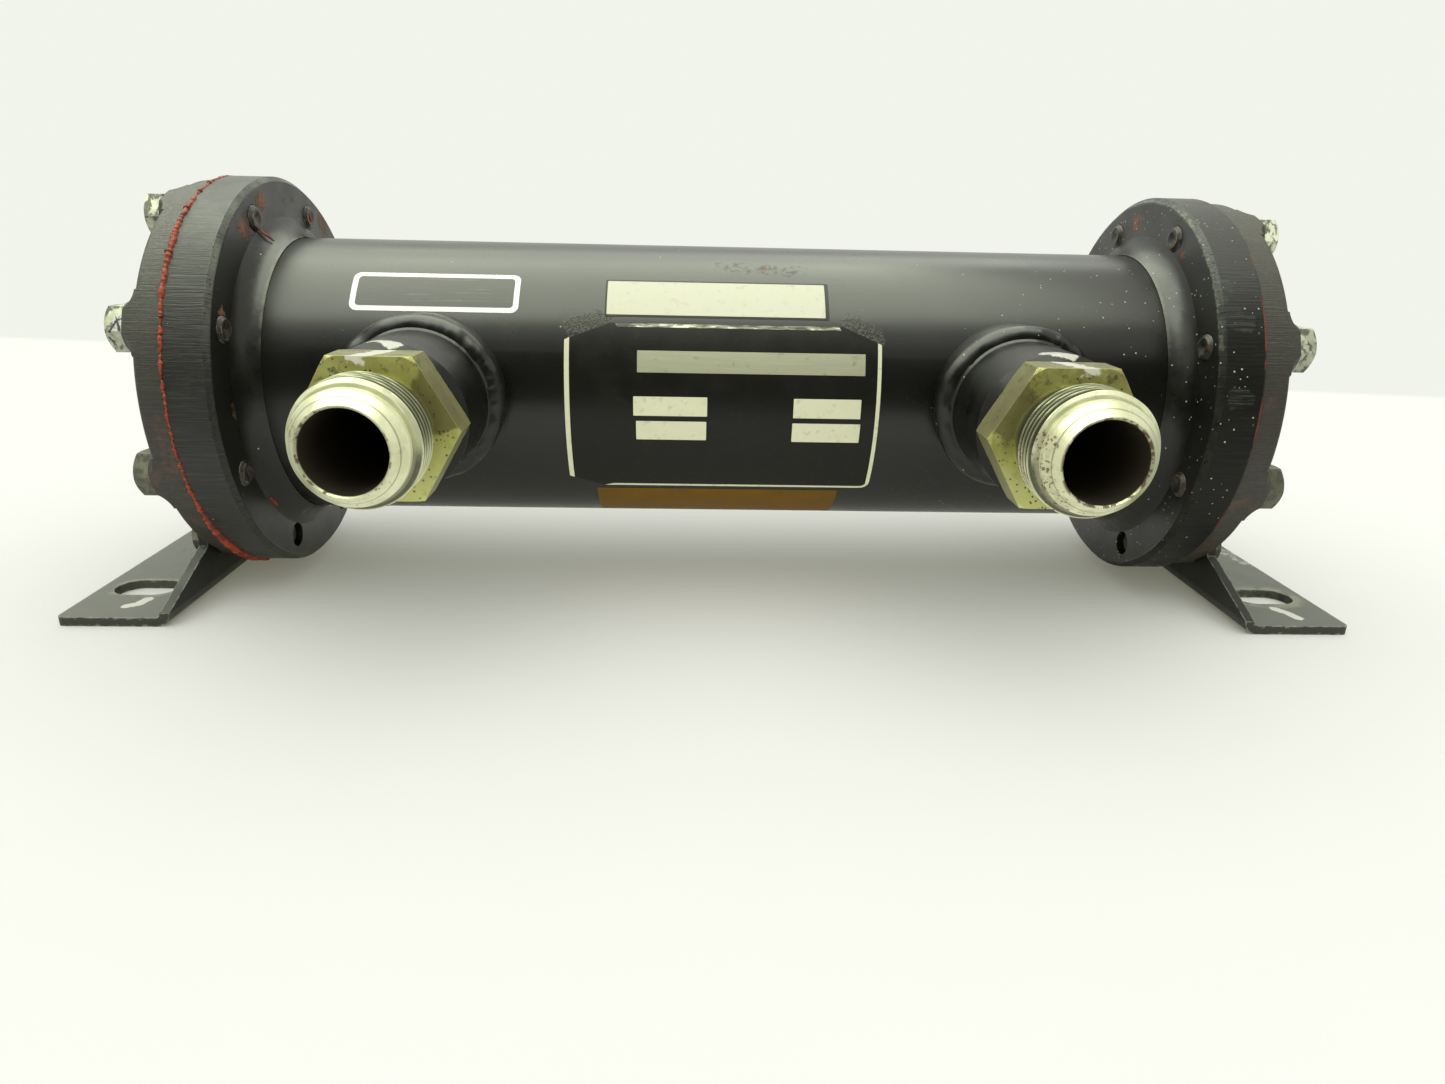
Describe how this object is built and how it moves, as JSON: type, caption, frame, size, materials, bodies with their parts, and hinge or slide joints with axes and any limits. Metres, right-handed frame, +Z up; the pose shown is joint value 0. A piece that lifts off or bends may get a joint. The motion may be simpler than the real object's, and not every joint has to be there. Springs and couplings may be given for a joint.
{
  "type": "shell and tube heat exchanger",
  "caption": "Small shell and tube oil cooler: round steel shell with bolted end covers, two flared hose fittings on its side and two slotted bent plate feet.",
  "frame": {"origin": "on the floor under the middle of the shell, at the centre of the four foot slots", "axes": "+X along the shell, +Z up; the hose fittings point along -Y"},
  "size_m": [0.4128, 0.1838, 0.134],
  "materials": {
    "shell_paint": "semi-gloss black paint with dust and small chips",
    "cover_iron": "thin dark paint over a cast face, sawn rim, traces of rust",
    "foot_paint": "satin dark grey paint on bent plate",
    "red_sealant": "red silicone sealant squeezed out in a bead",
    "bolt_steel": "dull zinc plated steel with stains",
    "zinc_plate": "yellow zinc plated steel, bright on the turned faces",
    "tube_copper": "dull copper tube",
    "baffle_brass": "dull sheet brass"
  },
  "bodies": {
    "root": {"baffle_1": "baffle_brass", "baffle_2": "baffle_brass", "baffle_3": "baffle_brass", "left_cover": "cover_iron", "left_cover_bolt_1": "bolt_steel", "left_cover_bolt_2": "bolt_steel", "left_cover_bolt_3": "bolt_steel", "left_cover_bolt_4": "bolt_steel", "left_cover_bolt_5": "bolt_steel", "left_cover_bolt_6": "bolt_steel", "left_cover_bolt_7": "bolt_steel", "left_cover_bolt_8": "bolt_steel", "left_foot": "foot_paint", "left_gasket": "red_sealant", "left_hose_fitting": "zinc_plate", "left_port_boss": "shell_paint", "left_port_weld": "shell_paint", "left_sheet_weld": "shell_paint", "left_tube_sheet": "shell_paint", "right_cover": "cover_iron", "right_cover_bolt_1": "bolt_steel", "right_cover_bolt_2": "bolt_steel", "right_cover_bolt_3": "bolt_steel", "right_cover_bolt_4": "bolt_steel", "right_cover_bolt_5": "bolt_steel", "right_cover_bolt_6": "bolt_steel", "right_cover_bolt_7": "bolt_steel", "right_cover_bolt_8": "bolt_steel", "right_foot": "foot_paint", "right_gasket": "red_sealant", "right_hose_fitting": "zinc_plate", "right_port_boss": "shell_paint", "right_port_weld": "shell_paint", "right_sheet_weld": "shell_paint", "right_tube_sheet": "shell_paint", "shell": "shell_paint", "tube_bundle": "tube_copper"}
  },
  "joints": []
}
